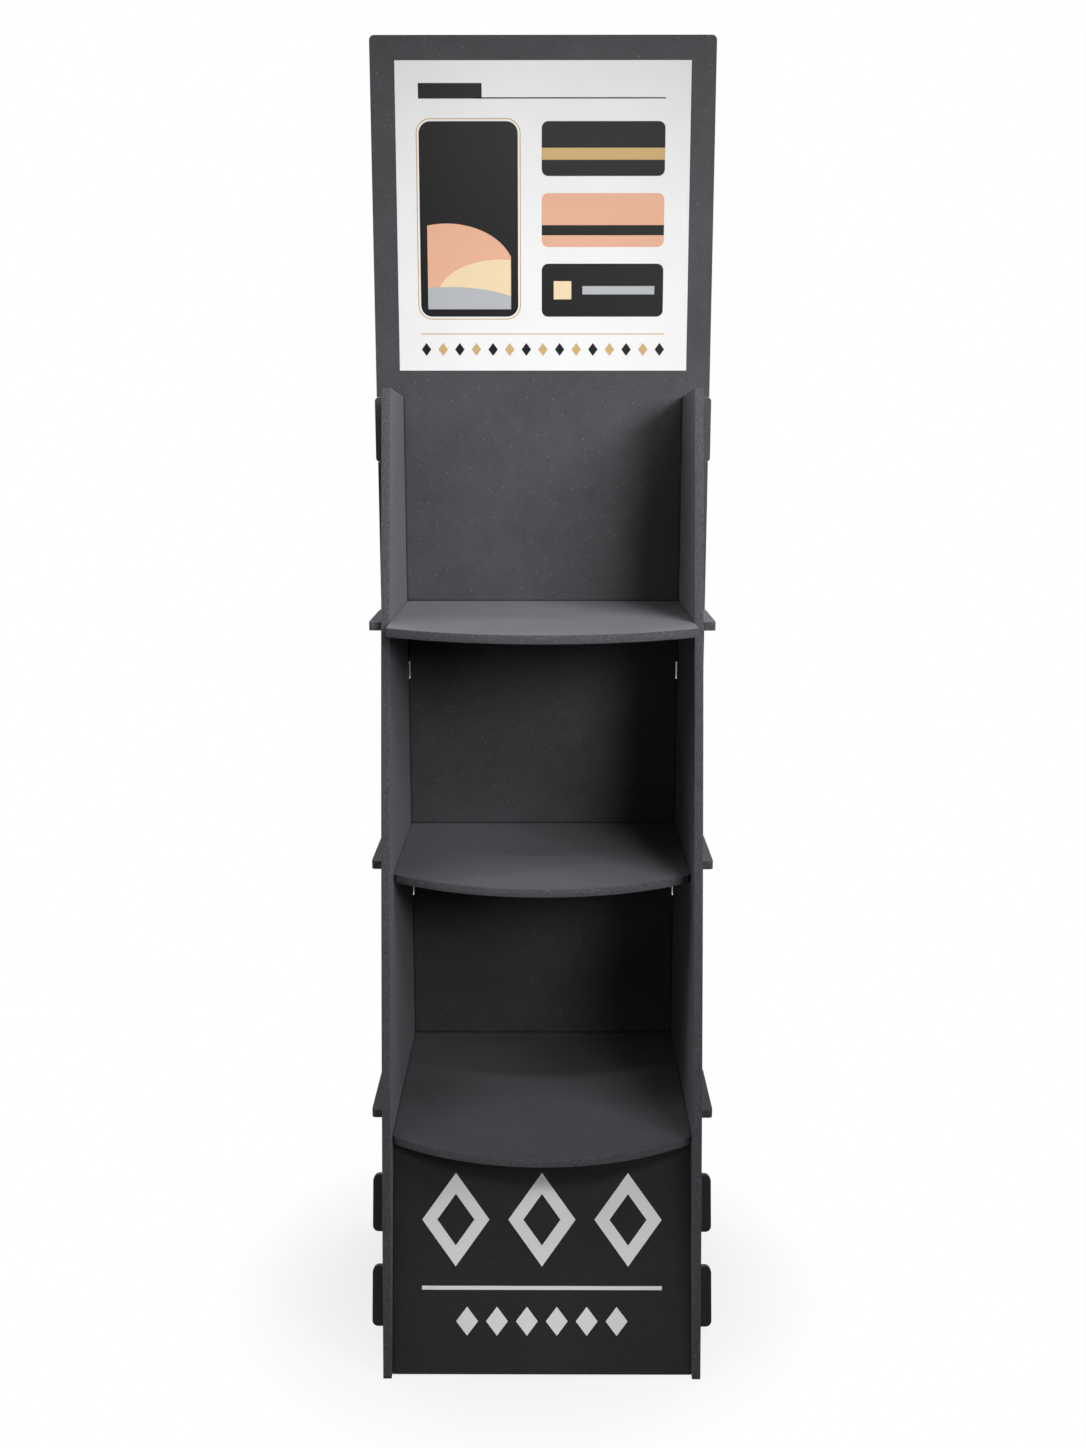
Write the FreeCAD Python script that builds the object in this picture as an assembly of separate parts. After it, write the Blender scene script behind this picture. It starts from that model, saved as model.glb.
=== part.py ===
import FreeCAD, Part
import math
import os

# A floor stand for goods, slotted together from flat board.
# X is to the right, Y to the back and Z up. The origin is on the floor, at the middle of the footprint.

# Board and fits
board = 10.0
fit_gap = 0.25
slot_clearance = 0.5
corner_round = 2.0
tab_round = 5.0

# Back panel, which carries the header
back_width = 423.0
back_height = 1570.0
back_corner_round = 6.0
lug_proud = 2.5
lug_bottom = 1059.0
lug_height = 81.0
lug_slit = 0.25

# Side panels: the front edge leans and bows outward
outer_width = 375.0
side_height = 1148.0
side_top_drop = 7.0
side_top_depth = 160.0
side_foot_depth = 366.0
side_bow = 13.0

# Tabs at the rear of the side panels, in slots of the back panel
rear_tab_height = 22.0
rear_tab_drop = 104.0
rear_tab_reach = 12.0
rear_slot_side_play = 2.2
rear_slot_top_play = 2.0

# Shelves, from the bottom up, with depths counted forward from the back panel
front_radius = 300.0
ear_length = 120.0
bottom_shelf_top = 280.0
bottom_shelf_depth = 305.5
bottom_ear_front = 238.0
bottom_ear_proud = 22.0
middle_shelf_top = 580.0
middle_shelf_depth = 232.0
middle_ear_front = 178.5
middle_ear_proud = 22.5
top_shelf_top = 880.0
top_shelf_depth = 262.0
top_ear_front = 210.0
top_ear_proud = 15.5

# Base panel, leaning back below the bottom shelf
base_foot_depth = 361.0
base_lean = 14.0
base_tab_proud = 13.8
base_tab_round = 7.0
lower_tab_bottom = 54.5
lower_tab_height = 68.0
upper_tab_bottom = 162.0
upper_tab_height = 65.0

# Printed sheet on the header
poster_width = 362.5
poster_height = 368.0
poster_thickness = 0.5
poster_top_margin = 29.0

# Sizes that follow from those above
inner_width = outer_width - 2 * board
back_reach = board + rear_tab_reach
back_y = (side_foot_depth - back_reach) / 2
shelves = {
    "bottom_shelf": (bottom_shelf_top, bottom_shelf_depth, bottom_ear_front, bottom_ear_proud),
    "middle_shelf": (middle_shelf_top, middle_shelf_depth, middle_ear_front, middle_ear_proud),
    "top_shelf": (top_shelf_top, top_shelf_depth, top_ear_front, top_ear_proud),
}


# Outlines and plates

def direction(start, end):
    return (end - start).normalize()


def corner_arc(before, corner, after, radius):
    """The arc that rounds a corner: its start, middle and end."""
    to_before = direction(corner, before)
    to_after = direction(corner, after)
    half_angle = to_before.getAngle(to_after) / 2
    tangent_length = radius / math.tan(half_angle)
    to_centre = (to_before + to_after).normalize()
    centre = corner + to_centre * (radius / math.sin(half_angle))
    start = corner + to_before * tangent_length
    end = corner + to_after * tangent_length
    return start, centre - to_centre * radius, end


def outline(corners, bowed_edge=None, bow=0.0, bow_direction=None):
    """A closed wire through corners given as (point, radius). One edge may be an arc that rises by bow."""
    points = [point for point, radius in corners]
    count = len(corners)
    turns = []
    for index, (point, radius) in enumerate(corners):
        if radius > 0:
            turns.append(corner_arc(points[index - 1], point, points[(index + 1) % count], radius))
        else:
            turns.append((point, point, point))
    edges = []
    for index, (start, middle, end) in enumerate(turns):
        next_start = turns[(index + 1) % count][0]
        if corners[index][1] > 0:
            edges.append(Part.Arc(start, middle, end).toShape())
        if index == bowed_edge:
            crown = (end + next_start) * 0.5 + bow_direction * bow
            edges.append(Part.Arc(end, crown, next_start).toShape())
        else:
            edges.append(Part.LineSegment(end, next_start).toShape())
    return Part.Wire(edges)


def plate(wire, extrusion):
    return Part.Face(wire).extrude(extrusion)


def block(low, high):
    return Part.makeBox(high.x - low.x, high.y - low.y, high.z - low.z, low)


def at_depth(depth):
    """The Y of a place so far in front of the back panel."""
    return back_y - depth


# Back panel

def rear_tab_bottoms():
    """The foot of each rear tab, below the shelf that it stands next to."""
    return [shelf[0] - rear_tab_drop for shelf in shelves.values()]


def lug(side):
    """A lug at one edge of the back panel. Side is 1 for the right and -1 for the left."""
    root = side * outer_width / 2
    tip = side * (back_width / 2 + lug_proud)
    lug_top = lug_bottom + lug_height
    profile = [
        (root, lug_bottom, 0.0),
        (tip, lug_bottom, tab_round),
        (tip, lug_top, tab_round),
        (root, lug_top, 0.0),
    ]
    corners = [(FreeCAD.Vector(x, back_y, z), radius) for x, z, radius in profile]
    return plate(outline(corners), FreeCAD.Vector(0, board, 0))


def lug_notch(side):
    """What leaves room for a lug, with a fine slit above it and below it."""
    low_x, high_x = sorted((side * outer_width / 2, side * (back_width / 2 + lug_proud)))
    low = FreeCAD.Vector(low_x, back_y, lug_bottom - lug_slit)
    high = FreeCAD.Vector(high_x, back_y + board, lug_bottom + lug_height + lug_slit)
    return block(low, high)


def back_panel():
    half = back_width / 2
    right_edge = [(half, 0.0, corner_round), (half, back_height, back_corner_round)]
    left_edge = [(-x, z, radius) for x, z, radius in reversed(right_edge)]
    corners = [(FreeCAD.Vector(x, back_y, z), radius) for x, z, radius in right_edge + left_edge]
    panel = plate(outline(corners), FreeCAD.Vector(0, board, 0))
    slot_inner = inner_width / 2 - rear_slot_side_play
    slot_outer = outer_width / 2 + fit_gap
    for bottom in rear_tab_bottoms():
        top = bottom + rear_tab_height + rear_slot_top_play
        for low_x, high_x in ((slot_inner, slot_outer), (-slot_outer, -slot_inner)):
            low = FreeCAD.Vector(low_x, back_y, bottom)
            high = FreeCAD.Vector(high_x, back_y + board, top)
            panel = panel.cut(block(low, high))
    for side in (1, -1):
        panel = panel.cut(lug_notch(side)).fuse(lug(side))
    return panel.removeSplitter()


# Side panels

def side_outline(x):
    """The side's shape, from the front foot up the bowed edge and down the back with its tabs."""
    rear = [
        (back_y, side_height - side_top_drop, corner_round),
    ]
    for bottom in reversed(rear_tab_bottoms()):
        top = bottom + rear_tab_height
        rear += [
            (back_y, top, 0.0),
            (back_y + back_reach, top, tab_round),
            (back_y + back_reach, bottom, tab_round),
            (back_y, bottom, 0.0),
        ]
    rear.append((back_y, 0.0, corner_round))
    front = [
        (at_depth(side_foot_depth), 0.0, 0.0),
        (at_depth(side_top_depth), side_height, 0.0),
    ]
    corners = [(FreeCAD.Vector(x, y, z), radius) for y, z, radius in front + rear]
    foot, head = corners[0][0], corners[1][0]
    outward = FreeCAD.Vector(1, 0, 0).cross(direction(foot, head))
    return outline(corners, bowed_edge=0, bow=side_bow, bow_direction=outward)


def ear_slots():
    """What the shelves' ears take out of both side panels. Each ear rests on the foot of its slot."""
    half = outer_width / 2 + board
    slots = []
    for top, depth, ear_front, ear_proud in shelves.values():
        low = FreeCAD.Vector(-half, at_depth(ear_front) - slot_clearance, top - board)
        high = FreeCAD.Vector(half, at_depth(ear_front - ear_length) + slot_clearance, top + slot_clearance)
        slots.append(block(low, high))
    return slots


def side_panel(inner_x, outer_x):
    panel = plate(side_outline(inner_x), FreeCAD.Vector(outer_x - inner_x, 0, 0))
    for cutter in ear_slots() + base_tab_slots():
        panel = panel.cut(cutter)
    return panel


# Shelves

def shelf(top, depth, ear_front, ear_proud):
    """A board between the sides, with an arc in front and an ear through each side."""
    half = inner_width / 2 - fit_gap
    ear = outer_width / 2 + ear_proud
    front_bow = front_radius - math.sqrt(front_radius ** 2 - half ** 2)
    right_edge = [
        (half, at_depth(fit_gap), corner_round),
        (half, at_depth(ear_front - ear_length), 0.0),
        (ear, at_depth(ear_front - ear_length), tab_round),
        (ear, at_depth(ear_front), tab_round),
        (half, at_depth(ear_front), 0.0),
        (half, at_depth(depth), 0.0),
    ]
    left_edge = [(-x, y, radius) for x, y, radius in reversed(right_edge)]
    corners = [(FreeCAD.Vector(x, y, top), radius) for x, y, radius in right_edge + left_edge]
    forward = FreeCAD.Vector(0, -1, 0)
    front_edge = len(right_edge) - 1
    wire = outline(corners, bowed_edge=front_edge, bow=front_bow, bow_direction=forward)
    return plate(wire, FreeCAD.Vector(0, 0, -board))


# Base panel, drawn upright with its foot at the origin and then leaned back

def lean_back(shape):
    """Puts an upright shape at the foot of the base panel, resting on its rear edge."""
    shape.rotate(FreeCAD.Vector(0, 0, 0), FreeCAD.Vector(1, 0, 0), -base_lean)
    foot_rise = board * math.sin(math.radians(base_lean))
    shape.translate(FreeCAD.Vector(0, at_depth(base_foot_depth), foot_rise))
    return shape


def along_lean(height):
    return height / math.cos(math.radians(base_lean))


def base_tab_spans():
    """The foot and head of each tab, measured along the leaning board."""
    lower = (along_lean(lower_tab_bottom), along_lean(lower_tab_bottom + lower_tab_height))
    upper = (along_lean(upper_tab_bottom), along_lean(upper_tab_bottom + upper_tab_height))
    return [lower, upper]


def base_tab_slots():
    """What the base panel's tabs take out of both side panels."""
    half = outer_width / 2 + board
    slots = []
    for bottom, top in base_tab_spans():
        low = FreeCAD.Vector(-half, -slot_clearance, bottom)
        high = FreeCAD.Vector(half, board + slot_clearance, top + slot_clearance)
        slots.append(lean_back(block(low, high)))
    return slots


def base_panel():
    half = inner_width / 2 - fit_gap
    tab = outer_width / 2 + base_tab_proud
    foot_rise = board * math.sin(math.radians(base_lean))
    head = along_lean(bottom_shelf_top - board - fit_gap - foot_rise)
    right_edge = [(half, 0.0, corner_round)]
    for bottom, top in base_tab_spans():
        right_edge += [
            (half, bottom, 0.0),
            (tab, bottom, base_tab_round),
            (tab, top, base_tab_round),
            (half, top, 0.0),
        ]
    right_edge.append((half, head, corner_round))
    left_edge = [(-x, z, radius) for x, z, radius in reversed(right_edge)]
    corners = [(FreeCAD.Vector(x, 0, z), radius) for x, z, radius in right_edge + left_edge]
    return lean_back(plate(outline(corners), FreeCAD.Vector(0, board, 0)))


# Printed sheet

def header_poster():
    top = back_height - poster_top_margin
    low = FreeCAD.Vector(-poster_width / 2, back_y - poster_thickness, top - poster_height)
    high = FreeCAD.Vector(poster_width / 2, back_y, top)
    return block(low, high)


# The whole stand

def stand():
    pieces = {
        "back_panel": back_panel(),
        "left_side_panel": side_panel(-inner_width / 2, -outer_width / 2),
        "right_side_panel": side_panel(inner_width / 2, outer_width / 2),
        "base_panel": base_panel(),
        "header_poster": header_poster(),
    }
    for name, sizes in shelves.items():
        pieces[name] = shelf(*sizes)
    return pieces


os.makedirs("parts", exist_ok=True)
for name, shape in stand().items():
    shape.exportStep("parts/" + name + ".step")
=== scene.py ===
import math

import bpy
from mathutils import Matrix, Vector


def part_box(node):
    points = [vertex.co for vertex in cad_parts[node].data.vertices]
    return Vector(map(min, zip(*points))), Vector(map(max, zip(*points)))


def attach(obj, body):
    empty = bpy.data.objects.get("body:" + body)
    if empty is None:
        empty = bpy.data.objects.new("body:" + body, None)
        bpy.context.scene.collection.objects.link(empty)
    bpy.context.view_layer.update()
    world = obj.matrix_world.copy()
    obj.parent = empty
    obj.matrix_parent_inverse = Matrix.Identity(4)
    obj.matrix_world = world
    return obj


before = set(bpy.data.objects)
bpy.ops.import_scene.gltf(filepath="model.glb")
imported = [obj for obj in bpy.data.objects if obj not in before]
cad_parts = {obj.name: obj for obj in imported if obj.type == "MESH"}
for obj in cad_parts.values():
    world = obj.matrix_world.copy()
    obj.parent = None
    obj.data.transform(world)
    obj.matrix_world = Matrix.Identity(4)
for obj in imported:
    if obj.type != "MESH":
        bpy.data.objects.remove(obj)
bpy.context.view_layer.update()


# Back panel with its header: one tall sheet of charcoal fibre board, dyed right through and cut by a router.
# Its faces are matt with fine flecks, and its cut edges are paler and mealy. The side panels hook into it.

board_colour = (0.048, 0.048, 0.054)
fleck_colour = (0.30, 0.30, 0.31, 1.0)
face_roughness = 0.62
edge_roughness = 0.85
arris = 0.0009
# How far the painted shade of a joint reaches from another board.
painted_shade_reach = 0.0050


def add_node(tree, kind, **settings):
    node = tree.nodes.new(kind)
    for name, value in settings.items():
        setattr(node, name, value)
    return node


def put(tree, source, target):
    """Sets a socket to a number or colour, or links another socket to it."""
    if isinstance(source, bpy.types.NodeSocket):
        tree.links.new(source, target)
    else:
        target.default_value = source


def math_node(tree, operation, first, second=0.0):
    node = add_node(tree, "ShaderNodeMath", operation=operation)
    put(tree, first, node.inputs[0])
    put(tree, second, node.inputs[1])
    return node.outputs[0]


def noise(tree, place, scale, detail=2.0, roughness=0.5, distortion=0.0):
    node = add_node(tree, "ShaderNodeTexNoise")
    put(tree, place, node.inputs["Vector"])
    put(tree, scale, node.inputs["Scale"])
    put(tree, detail, node.inputs["Detail"])
    put(tree, roughness, node.inputs["Roughness"])
    put(tree, distortion, node.inputs["Distortion"])
    return node.outputs["Fac"]


def from_to(tree, value, low, high, new_low, new_high):
    node = add_node(tree, "ShaderNodeMapRange", clamp=True)
    for target, source in zip(node.inputs, (value, low, high, new_low, new_high)):
        put(tree, source, target)
    return node.outputs[0]


def varied(tree, pattern, swing, spread=0.15):
    """A level that swings about 1 as a pattern swings about its middle."""
    return from_to(tree, pattern, 0.5 - spread, 0.5 + spread, 1.0 - swing, 1.0 + swing)


def blend_colours(tree, factor, first, second):
    node = add_node(tree, "ShaderNodeMix", data_type="RGBA")
    put(tree, factor, node.inputs["Factor"])
    put(tree, first, node.inputs[6])
    put(tree, second, node.inputs[7])
    return node.outputs[2]


def new_material(name):
    material = bpy.data.materials.new(name)
    material.use_nodes = True
    return material, material.node_tree, material.node_tree.nodes["Principled BSDF"]


def scaled(tree, vector, factors):
    node = add_node(tree, "ShaderNodeVectorMath", operation="MULTIPLY")
    put(tree, vector, node.inputs[0])
    put(tree, factors, node.inputs[1])
    return node.outputs[0]


def flat_level(tree, level):
    """The same number three times, to scale a colour by."""
    node = add_node(tree, "ShaderNodeCombineXYZ")
    for target in node.inputs:
        put(tree, level, target)
    return node.outputs[0]


def along(tree, vector, axis):
    """How far a vector reaches along an axis."""
    node = add_node(tree, "ShaderNodeVectorMath", operation="DOT_PRODUCT")
    put(tree, vector, node.inputs[0])
    put(tree, axis, node.inputs[1])
    return node.outputs["Value"]


def scattered_flecks(tree, spot, per_metre, radius, share):
    """A mask of small round flecks over a flat place, at most one to a cell, in a share of the cells."""
    cells = add_node(tree, "ShaderNodeTexVoronoi", feature="F1", voronoi_dimensions="2D")
    put(tree, spot, cells.inputs["Vector"])
    put(tree, per_metre, cells.inputs["Scale"])
    reach = radius * per_metre
    dots = from_to(tree, cells.outputs["Distance"], reach * 0.5, reach, 1.0, 0.0)
    pick = add_node(tree, "ShaderNodeSeparateColor")
    put(tree, cells.outputs["Color"], pick.inputs[0])
    chosen = math_node(tree, "LESS_THAN", pick.outputs["Red"], share)
    strength = from_to(tree, pick.outputs["Green"], 0.0, 1.0, 0.35, 1.0)
    return math_node(tree, "MULTIPLY", dots, math_node(tree, "MULTIPLY", chosen, strength))


def product(tree, *levels):
    whole = levels[0]
    for level in levels[1:]:
        whole = math_node(tree, "MULTIPLY", whole, level)
    return whole


def give_relief(tree, shader, height, strength, depth):
    bump = add_node(tree, "ShaderNodeBump")
    put(tree, height, bump.inputs["Height"])
    put(tree, strength, bump.inputs["Strength"])
    put(tree, depth, bump.inputs["Distance"])
    put(tree, bump.outputs["Normal"], shader.inputs["Normal"])


def board_face(tree, spot, across, grain, shade_level):
    """The colour and relief of a face: a clouded ground, faint streaks and fibres, and flecks of two sizes."""
    sideways = Vector((1.0, 0.0, 0.0)) if abs(across[0]) < 0.5 else Vector((0.0, 1.0, 0.0))
    upward = Vector(across).cross(sideways)
    flat = add_node(tree, "ShaderNodeCombineXYZ")
    put(tree, along(tree, spot, sideways), flat.inputs["X"])
    put(tree, along(tree, spot, upward), flat.inputs["Y"])
    flecks = scattered_flecks(tree, flat.outputs[0], per_metre=46.0, radius=0.0010, share=0.80)
    fine_flecks = scattered_flecks(tree, flat.outputs[0], per_metre=130.0, radius=0.0007, share=0.40)
    # The shade level scales flecks and ground alike; below 1 it is painted shade.
    fleck_mask = math_node(tree, "MAXIMUM", math_node(tree, "MULTIPLY", flecks, 0.42 * shade_level),
                           math_node(tree, "MULTIPLY", fine_flecks, 0.20 * shade_level))

    clouds = noise(tree, spot, 9.0, detail=5.0, roughness=0.62)
    streaks = noise(tree, scaled(tree, spot, grain), 60.0, detail=3.0, roughness=0.6)
    meal = noise(tree, spot, 520.0, detail=3.0, roughness=0.7)
    fibres = noise(tree, spot, 150.0, detail=2.0, roughness=0.5, distortion=2.5)
    off_middle = math_node(tree, "ABSOLUTE", math_node(tree, "SUBTRACT", fibres, 0.5))
    fibre_lines = from_to(tree, off_middle, 0.0, 0.018, 1.08, 1.0)
    level = product(tree, shade_level, varied(tree, clouds, 0.12), varied(tree, streaks, 0.06),
                    varied(tree, meal, 0.14), fibre_lines)
    ground = scaled(tree, board_colour, flat_level(tree, level))
    height = math_node(tree, "ADD", math_node(tree, "MULTIPLY", meal, 0.6), math_node(tree, "MULTIPLY", flecks, 1.2))
    return blend_colours(tree, fleck_mask, ground, fleck_colour), height


def board_edge(tree, spot, across, facing):
    """Colour and relief of a cut edge: meal in layers along the board, and a painted highlight on its arrises."""
    layers = scaled(tree, spot, [1.0 + 2.2 * abs(share) for share in across])
    coarse_meal = noise(tree, layers, 240.0, detail=4.0, roughness=0.72)
    fine_meal = noise(tree, spot, 800.0, detail=2.0, roughness=0.6)
    # Painted highlight: the arrises' colour is made up to half again paler.
    painted_arris_highlight = from_to(tree, facing, 0.15, 0.30, 1.0, 1.5)
    level = product(tree, from_to(tree, coarse_meal, 0.38, 0.62, 0.82, 1.68), varied(tree, fine_meal, 0.20),
                    painted_arris_highlight)
    return scaled(tree, board_colour, flat_level(tree, level)), math_node(tree, "MULTIPLY", coarse_meal, 1.6)


def painted_joint_shade(tree):
    """Painted shade: darkens a colour in the last millimetres before another board, where a joint's shade falls."""
    painted_shade_node = add_node(tree, "ShaderNodeAmbientOcclusion", samples=8)
    put(tree, painted_shade_reach, painted_shade_node.inputs["Distance"])
    return flat_level(tree, from_to(tree, painted_shade_node.outputs["AO"], 0.50, 0.85, 0.05, 1.0))


def board_finish(name, across, grain=(1.0, 1.0, 1.0), shade_level=1.0):
    """Fibre board whose faces lie square to the direction across. All other faces are cut edges."""
    material, tree, shader = new_material(name)
    place = add_node(tree, "ShaderNodeTexCoord")
    spot = place.outputs["Object"]
    facing = math_node(tree, "ABSOLUTE", along(tree, place.outputs["Normal"], across))
    on_face = from_to(tree, facing, 0.80, 0.90, 0.0, 1.0)
    face_colour, face_height = board_face(tree, spot, across, grain, shade_level)
    edge_colour, edge_height = board_edge(tree, spot, across, facing)

    open_colour = blend_colours(tree, on_face, edge_colour, face_colour)
    # The colour is darkened near other boards by painted shade.
    put(tree, scaled(tree, open_colour, painted_joint_shade(tree)), shader.inputs["Base Color"])
    put(tree, from_to(tree, on_face, 0.0, 1.0, edge_roughness, face_roughness), shader.inputs["Roughness"])
    put(tree, 0.35, shader.inputs["Specular IOR Level"])
    put(tree, 0.18, shader.inputs["Sheen Weight"])
    put(tree, 0.50, shader.inputs["Sheen Roughness"])
    put(tree, (0.92, 0.92, 1.0, 1.0), shader.inputs["Sheen Tint"])

    height = add_node(tree, "ShaderNodeMix", data_type="FLOAT")
    put(tree, on_face, height.inputs["Factor"])
    put(tree, edge_height, height.inputs[2])
    put(tree, face_height, height.inputs[3])
    give_relief(tree, shader, height.outputs[0], strength=0.35, depth=0.0002)
    return material


def dress_board(node_name, material):
    """Gives a board its finish and takes the sharpness off its arrises."""
    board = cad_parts[node_name]
    board.data.materials.clear()
    board.data.materials.append(material)
    weld = board.modifiers.new("weld", "WELD")
    weld.merge_threshold = 0.00001
    soften = board.modifiers.new("arris", "BEVEL")
    soften.width = arris
    soften.segments = 2
    soften.limit_method = "ANGLE"
    soften.angle_limit = math.radians(40)


dress_board("back_panel", board_finish("board_standing", across=(0.0, 1.0, 0.0)))


# Side panels: a pair cut from the same board, with a leaning front edge and slots for the shelves' ears.
# Their rear tabs hook through the back panel.

side_finish = board_finish("board_side", across=(1.0, 0.0, 0.0), grain=(1.0, 1.0, 0.10))
for side in ("left_side_panel", "right_side_panel"):
    dress_board(side, side_finish)


# Shelves: three bow-fronted boards of the same stock, with an ear out through each side. They slide in from the
# front and lie on the feet of their slots, and nothing else holds them.

shelf_finish = board_finish("board_shelf", across=(0.0, 0.0, 1.0), grain=(0.10, 1.0, 1.0))
for shelf in ("top_shelf", "middle_shelf", "bottom_shelf"):
    dress_board(shelf, shelf_finish)


# Base panel: the kick board, which leans back under the bottom shelf. Its faces are darkened as painted shade, and
# white ink is screened on it: three open diamonds over a rule and a row of small diamonds.

base_lean = math.radians(14.0)
board_thickness = 0.010
# Painted shade: the kick's faces keep this share of the board colour.
kick_painted_shade = 0.27
kick_across = (0.0, math.cos(base_lean), -math.sin(base_lean))
dress_board("base_panel", board_finish("board_leaning", across=kick_across, shade_level=kick_painted_shade))

ink_coat = 0.00012
base_ink_colour = (0.88, 0.88, 0.88)
base_print_width = 0.285
open_diamond = (0.080, 0.110)
open_diamond_stroke = 0.0145
open_diamond_height = 0.181
base_rule_height = 0.101
base_rule_depth = 0.0046
small_diamond = (0.026, 0.034)
small_diamond_height = 0.062
small_diamond_pitch = 0.0355
small_diamond_count = 6


def start_field(name, width, height, place, layer):
    """Scales the new primitive to a flat field of ink, upright, facing forward and centred at place (X, Z)."""
    shape = bpy.context.object
    shape.name = name
    shape.scale = (width, height, 1.0)
    shape.rotation_euler = (math.radians(90), 0.0, 0.0)
    shape.location = (place[0], -ink_coat * (layer - 1), place[1])
    bpy.ops.object.transform_apply(location=True, rotation=True, scale=True)
    return shape


def block_of_ink(name, width, height, place, layer=1, corner=0.0):
    bpy.ops.object.select_all(action="DESELECT")
    bpy.ops.mesh.primitive_plane_add(size=1.0)
    shape = start_field(name, width, height, place, layer)
    if corner > 0.0:
        bpy.ops.object.mode_set(mode="EDIT")
        bpy.ops.mesh.select_all(action="SELECT")
        bpy.ops.mesh.bevel(affect="VERTICES", offset=corner, segments=8)
        bpy.ops.object.mode_set(mode="OBJECT")
    return shape


def diamond_of_ink(name, size, place, layer=1):
    bpy.ops.object.select_all(action="DESELECT")
    bpy.ops.mesh.primitive_circle_add(vertices=4, radius=0.5, fill_type="NGON")
    return start_field(name, size[0], size[1], place, layer)


def keep_frame(shape, stroke):
    """Takes the middle out of a field, so that a frame of the given stroke is left."""
    bpy.ops.object.mode_set(mode="EDIT")
    bpy.ops.mesh.select_all(action="SELECT")
    bpy.ops.mesh.inset(thickness=stroke)
    bpy.ops.mesh.delete(type="FACE")
    bpy.ops.object.mode_set(mode="OBJECT")


def repeat(shape, count, pitch):
    """Copies a field sideways at an even pitch, into the same mesh."""
    row = shape.modifiers.new("row", "ARRAY")
    row.count = count
    row.use_relative_offset = False
    row.use_constant_offset = True
    row.constant_offset_displace = (pitch, 0.0, 0.0)
    bpy.ops.object.modifier_apply(modifier=row.name)


def print_fields(name, fields, lean, foot, material):
    """Joins fields of one ink, gives them the ink's thickness and lays them on a board from its foot up."""
    bpy.ops.object.select_all(action="DESELECT")
    for shape in fields:
        shape.select_set(True)
    whole = fields[0]
    bpy.context.view_layer.objects.active = whole
    if len(fields) > 1:
        bpy.ops.object.join()
    whole.name = name
    film = whole.modifiers.new("film", "SOLIDIFY")
    film.thickness = ink_coat
    film.offset = 1.0
    bpy.ops.object.modifier_apply(modifier=film.name)
    whole.rotation_euler = (-lean, 0.0, 0.0)
    whole.location = foot
    bpy.ops.object.transform_apply(location=True, rotation=True, scale=True)
    whole.data.materials.append(material)
    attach(whole, "root")


def smooth_finish(name, colour, roughness=0.45):
    """Paper or a film of ink: one colour with the least drift, and a fine tooth."""
    material, tree, shader = new_material(name)
    place = add_node(tree, "ShaderNodeTexCoord")
    tooth = noise(tree, place.outputs["Object"], 900.0, detail=3.0, roughness=0.6)
    drift = noise(tree, place.outputs["Object"], 12.0, detail=2.0)
    level = product(tree, varied(tree, tooth, 0.015, spread=0.2), varied(tree, drift, 0.015, spread=0.2))
    put(tree, scaled(tree, colour, flat_level(tree, level)), shader.inputs["Base Color"])
    put(tree, roughness, shader.inputs["Roughness"])
    put(tree, 0.15, shader.inputs["Specular IOR Level"])
    give_relief(tree, shader, tooth, strength=0.08, depth=0.0001)
    return material


edge_to_middle = (base_print_width - open_diamond[0]) / 2
open_row = diamond_of_ink("open_row", open_diamond, (-edge_to_middle, open_diamond_height))
keep_frame(open_row, open_diamond_stroke)
repeat(open_row, 3, edge_to_middle)
base_rule = block_of_ink("base_rule", base_print_width, base_rule_depth, (0.0, base_rule_height))
row_start = -small_diamond_pitch * (small_diamond_count - 1) / 2
small_row = diamond_of_ink("small_row", small_diamond, (row_start, small_diamond_height))
repeat(small_row, small_diamond_count, small_diamond_pitch)

base_foot = (0.0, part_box("base_panel")[0].y, board_thickness * math.sin(base_lean))
print_fields("base_print", [open_row, base_rule, small_row], lean=base_lean, foot=base_foot,
             material=smooth_finish("base_ink", base_ink_colour, roughness=0.40))


# Header poster: a smooth white paper sheet, glued flat on the upper part of the back panel, printed with plain
# fields: a tall panel of hills in a thin gold frame, three wide bands and a row of small diamonds.

paper_colour = (0.78, 0.78, 0.78)
black_ink = (0.010, 0.010, 0.011)
gold_ink = (0.560, 0.370, 0.160)
blush_ink = (0.720, 0.400, 0.270)
sand_ink = (0.780, 0.620, 0.400)
grey_ink = (0.420, 0.430, 0.450)

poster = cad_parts["header_poster"]
poster.data.materials.clear()
poster.data.materials.append(smooth_finish("poster_paper", paper_colour))
poster_low, poster_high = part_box("header_poster")
poster_foot = ((poster_low.x + poster_high.x) / 2, poster_low.y, poster_low.z)

tall_panel = (0.122, 0.232)
tall_panel_place = (-0.092, 0.182)
tall_panel_corner = 0.014
frame_gap = 0.0035
frame_stroke = 0.0012
hill_margin = 0.009
band = (0.152, 0.064)
band_place = 0.0745
band_pitch = 0.084
band_corner = 0.008
top_stripe_depth = 0.014
top_stripe_drop = 0.006
middle_stripe_depth = 0.012
middle_stripe_drop = 0.012
low_stripe_size = (0.090, 0.010)
low_stripe_place = band_place + 0.020
low_square_side = 0.022
low_square_place = band_place - 0.050
foot_diamond = (0.012, 0.016)
foot_row_start = (-0.147, 0.026)
foot_row_pitch = 0.042


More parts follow.
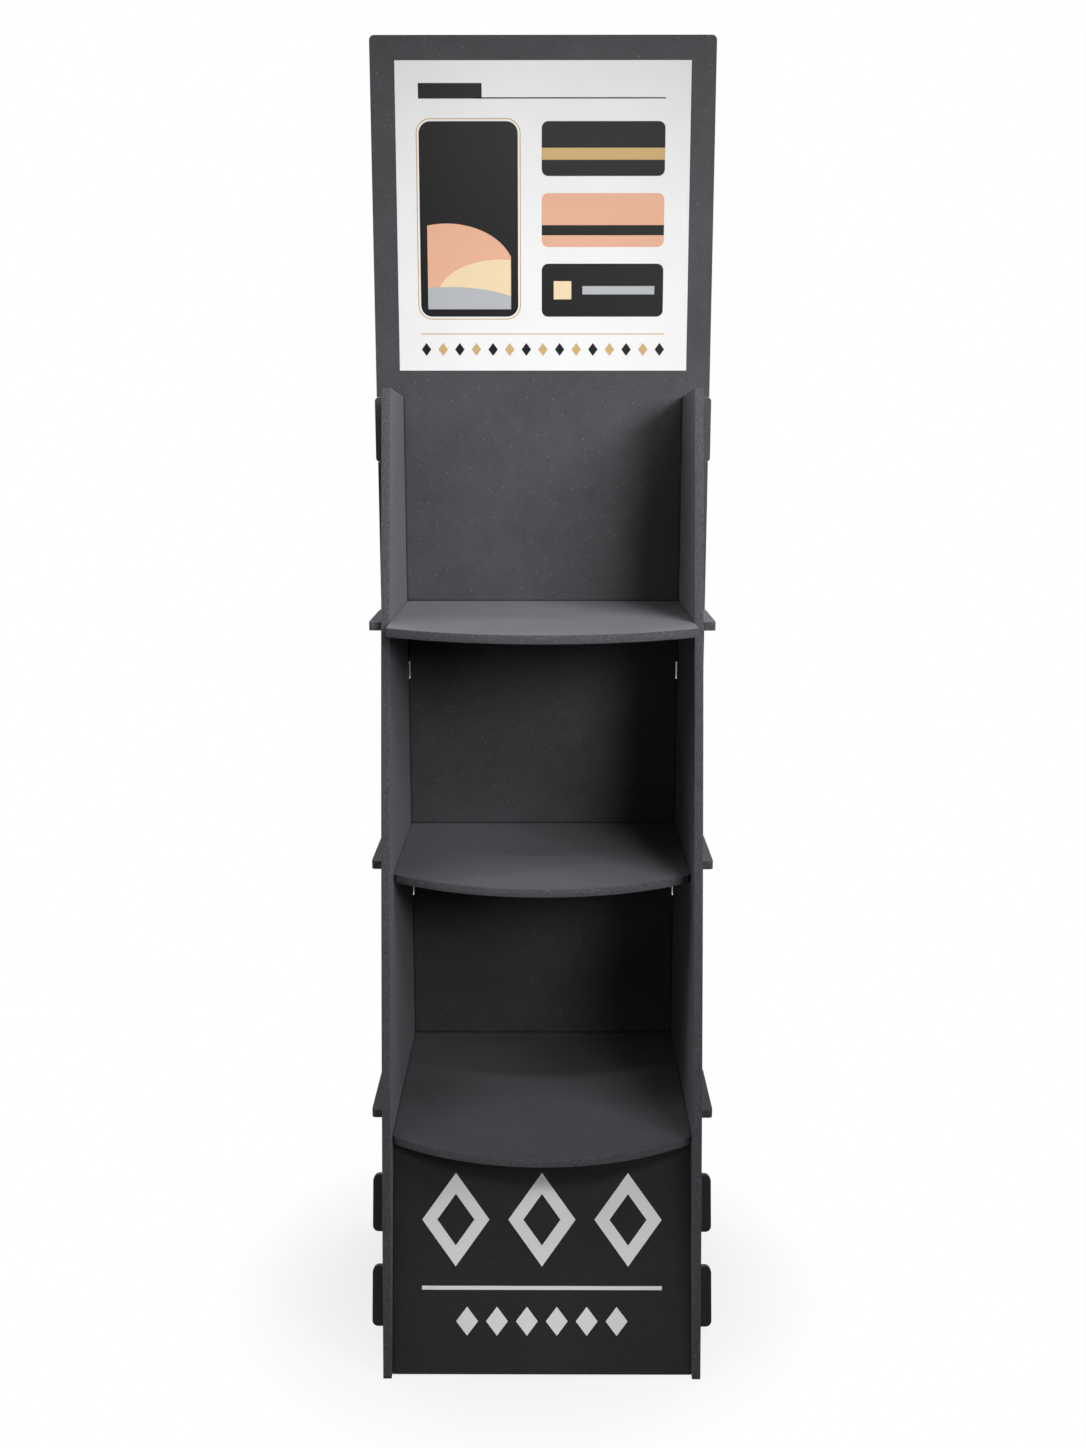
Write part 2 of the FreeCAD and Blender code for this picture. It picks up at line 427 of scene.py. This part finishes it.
def hill(name, width, height, place, layer):
    """The part of an oval field that lies inside the tall panel's margins."""
    bpy.ops.object.select_all(action="DESELECT")
    bpy.ops.mesh.primitive_circle_add(vertices=96, radius=0.5, fill_type="NGON")
    shape = start_field(name, width, height, place, layer)
    middle_x, middle_z = tall_panel_place
    half_x = tall_panel[0] / 2 - hill_margin
    half_z = tall_panel[1] / 2 - hill_margin
    bpy.ops.object.mode_set(mode="EDIT")
    for point, outward in (((middle_x - half_x, 0.0, 0.0), (-1.0, 0.0, 0.0)),
                           ((middle_x + half_x, 0.0, 0.0), (1.0, 0.0, 0.0)),
                           ((0.0, 0.0, middle_z - half_z), (0.0, 0.0, -1.0))):
        bpy.ops.mesh.select_all(action="SELECT")
        bpy.ops.mesh.bisect(plane_co=point, plane_no=outward, clear_outer=True)
    bpy.ops.object.mode_set(mode="OBJECT")
    return shape


def band_height(step):
    return tall_panel_place[1] + band_pitch * step


panel_field = block_of_ink("panel_field", tall_panel[0], tall_panel[1], tall_panel_place, corner=tall_panel_corner)
top_band = block_of_ink("top_band", band[0], band[1], (band_place, band_height(1)), corner=band_corner)
low_band = block_of_ink("low_band", band[0], band[1], (band_place, band_height(-1)), corner=band_corner)
middle_stripe = block_of_ink("middle_stripe", band[0], middle_stripe_depth,
                             (band_place, band_height(0) - middle_stripe_drop), layer=2)
heading_bar = block_of_ink("heading_bar", width=0.078, height=0.018, place=(-0.114, 0.333))
heading_line = block_of_ink("heading_line", width=0.236, height=0.0015, place=(0.0325, 0.3248))
foot_row = diamond_of_ink("foot_row", foot_diamond, foot_row_start)
repeat(foot_row, 8, foot_row_pitch)
print_fields("poster_black", [panel_field, top_band, low_band, middle_stripe, heading_bar, heading_line, foot_row],
             lean=0.0, foot=poster_foot, material=smooth_finish("black_ink", black_ink, roughness=0.35))

panel_frame = block_of_ink("panel_frame", tall_panel[0] + 2 * frame_gap, tall_panel[1] + 2 * frame_gap,
                           tall_panel_place, corner=tall_panel_corner + frame_gap)
keep_frame(panel_frame, frame_stroke)
foot_rule = block_of_ink("foot_rule", width=0.306, height=0.0012, place=(0.0, 0.045))
gold_row_start = (foot_row_start[0] + foot_row_pitch / 2, foot_row_start[1])
gold_row = diamond_of_ink("gold_row", foot_diamond, gold_row_start)
repeat(gold_row, 7, foot_row_pitch)
top_stripe = block_of_ink("top_stripe", band[0], top_stripe_depth,
                          (band_place, band_height(1) - top_stripe_drop), layer=2)
print_fields("poster_gold", [panel_frame, foot_rule, gold_row, top_stripe],
             lean=0.0, foot=poster_foot, material=smooth_finish("gold_ink", gold_ink, roughness=0.35))

middle_band = block_of_ink("middle_band", band[0], band[1], (band_place, band_height(0)), corner=band_corner)
far_hill = hill("far_hill", width=0.170, height=0.120, place=(-0.120, 0.118), layer=2)
print_fields("poster_blush", [middle_band, far_hill],
             lean=0.0, foot=poster_foot, material=smooth_finish("blush_ink", blush_ink))

near_hill = hill("near_hill", width=0.160, height=0.090, place=(-0.052, 0.090), layer=3)
low_square = block_of_ink("low_square", low_square_side, low_square_side,
                          (low_square_place, band_height(-1)), layer=2)
print_fields("poster_sand", [near_hill, low_square],
             lean=0.0, foot=poster_foot, material=smooth_finish("sand_ink", sand_ink))

front_hill = hill("front_hill", width=0.200, height=0.060, place=(-0.118, 0.072), layer=4)
low_stripe = block_of_ink("low_stripe", low_stripe_size[0], low_stripe_size[1],
                          (low_stripe_place, band_height(-1)), layer=2)
print_fields("poster_grey", [front_hill, low_stripe],
             lean=0.0, foot=poster_foot, material=smooth_finish("grey_ink", grey_ink))


# The studio: a white floor that keeps the stand's shadow, with a painted shadow round the stand's foot, a white
# surround, and soft lamps in front, overhead, at the left and behind. The wide ones in front stand mostly on the
# right, and narrow ones light the kick board and the middle shelf's front. The camera stands at chest height.

fill_strength = 0.032
# To the camera the floor glows less towards this middle, a painted shadow round the stand's foot.
painted_shadow_middle = (-0.025, 0.03, 0.0)
glow_in_painted_shadow = 0.76
painted_shadow_fades_from = 0.20
painted_shadow_ends_at = 0.40

world = bpy.data.worlds.new("surround")
bpy.context.scene.world = world
world.use_nodes = True
surround = world.node_tree
surround.nodes.clear()
path = add_node(surround, "ShaderNodeLightPath")
seen = add_node(surround, "ShaderNodeBackground")
put(surround, (1.0, 1.0, 1.0, 1.0), seen.inputs["Color"])
put(surround, 1.0, seen.inputs["Strength"])
lighting = add_node(surround, "ShaderNodeBackground")
put(surround, (0.96, 0.98, 1.0, 1.0), lighting.inputs["Color"])
put(surround, fill_strength, lighting.inputs["Strength"])
either = math_node(surround, "MAXIMUM", path.outputs["Is Camera Ray"], path.outputs["Is Transmission Ray"])
choice = add_node(surround, "ShaderNodeMixShader")
put(surround, either, choice.inputs[0])
put(surround, lighting.outputs[0], choice.inputs[1])
put(surround, seen.outputs[0], choice.inputs[2])
put(surround, choice.outputs[0], add_node(surround, "ShaderNodeOutputWorld").inputs["Surface"])


def floor_finish():
    """A white floor: the stand's shadow and a painted shadow close by, and pure white to the camera further out."""
    material = bpy.data.materials.new("floor_white")
    material.use_nodes = True
    tree = material.node_tree
    tree.nodes.clear()
    place = add_node(tree, "ShaderNodeTexCoord")
    reach = add_node(tree, "ShaderNodeVectorMath", operation="DISTANCE")
    put(tree, place.outputs["Object"], reach.inputs[0])
    put(tree, painted_shadow_middle, reach.inputs[1])
    ray = add_node(tree, "ShaderNodeLightPath")
    # Painted shadow: the glow falls off towards the stand.
    painted_shadow_glow = from_to(tree, reach.outputs["Value"], painted_shadow_fades_from, painted_shadow_ends_at, glow_in_painted_shadow, 1.0)
    share = math_node(tree, "MULTIPLY", painted_shadow_glow, ray.outputs["Is Camera Ray"])
    matt = add_node(tree, "ShaderNodeBsdfDiffuse")
    put(tree, (0.85, 0.85, 0.85, 1.0), matt.inputs["Color"])
    glow = add_node(tree, "ShaderNodeEmission")
    put(tree, (1.0, 1.0, 1.0, 1.0), glow.inputs["Color"])
    mix = add_node(tree, "ShaderNodeMixShader")
    put(tree, share, mix.inputs[0])
    put(tree, matt.outputs[0], mix.inputs[1])
    put(tree, glow.outputs[0], mix.inputs[2])
    put(tree, mix.outputs[0], add_node(tree, "ShaderNodeOutputMaterial").inputs["Surface"])
    return material


bpy.ops.mesh.primitive_plane_add(size=30.0)
floor = bpy.context.object
floor.name = "floor"
floor.data.materials.append(floor_finish())


def aim(thing, target):
    thing.rotation_euler = (Vector(target) - thing.location).to_track_quat("-Z", "Y").to_euler()


def soft_spot(name, place, target, power, cone_degrees, radius):
    """A soft lamp of a power in watts, whose light fades towards the rim of its cone."""
    lamp = bpy.data.lights.new(name, "SPOT")
    lamp.energy = power
    lamp.spot_size = math.radians(cone_degrees)
    lamp.spot_blend = 1.0
    lamp.shadow_soft_size = radius
    holder = bpy.data.objects.new(name, lamp)
    holder.location = place
    aim(holder, target)
    bpy.context.collection.objects.link(holder)


# Each lamp: where it stands, where it points, its power, its cone in degrees and its radius.
soft_spot("key", (1.35, -1.30, 1.90), (0.0, 0.0, 1.00), 70.0, 52.0, 0.35)
soft_spot("key_header", (1.35, -1.30, 2.20), (0.0, 0.0, 1.42), 62.0, 46.0, 0.35)
soft_spot("front_right", (0.90, -1.90, 1.50), (0.0, 0.0, 0.92), 110.0, 42.0, 0.35)
soft_spot("front_header", (0.10, -2.00, 2.00), (-0.12, 0.17, 1.52), 56.0, 26.0, 0.35)
soft_spot("front_left", (-0.90, -1.95, 1.05), (0.0, 0.0, 0.80), 8.0, 50.0, 0.35)
soft_spot("front_shelf", (-0.04, -1.10, 2.50), (-0.01, -0.085, 0.57), 70.0, 7.5, 0.06)
soft_spot("overhead_right", (0.70, -0.55, 2.40), (0.0, -0.10, 0.85), 42.0, 50.0, 0.30)
soft_spot("overhead_left", (-0.70, -0.55, 2.40), (0.0, -0.10, 0.70), 36.0, 50.0, 0.30)
soft_spot("left_side", (-1.90, -0.45, 1.50), (-0.10, 0.0, 0.70), 34.0, 40.0, 0.35)
soft_spot("front_kick", (0.0, -1.95, 1.85), (0.0, -0.17, 0.11), 125.0, 13.0, 0.25)
soft_spot("back_left", (-1.50, 1.40, 1.35), (-0.05, 0.10, 0.75), 80.0, 56.0, 0.40)
soft_spot("back_right", (1.50, 1.40, 1.35), (0.05, 0.10, 0.75), 80.0, 56.0, 0.40)
soft_spot("behind_high", (0.0, 0.50, 2.80), (0.0, -0.10, 0.88), 34.0, 40.0, 0.12)

frame_height_px = 1448
focal_px = 1487.6
camera_side = 0.0075
camera_distance = 1.9364
camera_height = 1.1083
camera_dip = math.radians(11.45)
camera_turn = math.radians(0.22)
camera_data = bpy.data.cameras.new("camera")
camera_data.sensor_fit = "VERTICAL"
camera_data.sensor_height = 36.0
camera_data.lens = camera_data.sensor_height * focal_px / frame_height_px
camera = bpy.data.objects.new("camera", camera_data)
panel_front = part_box("back_panel")[0].y
camera.location = (camera_side, panel_front - camera_distance, camera_height)
camera.rotation_euler = (math.radians(90) - camera_dip, 0.0, camera_turn)
bpy.context.collection.objects.link(camera)
bpy.context.scene.camera = camera
bpy.context.scene.view_settings.view_transform = "Standard"
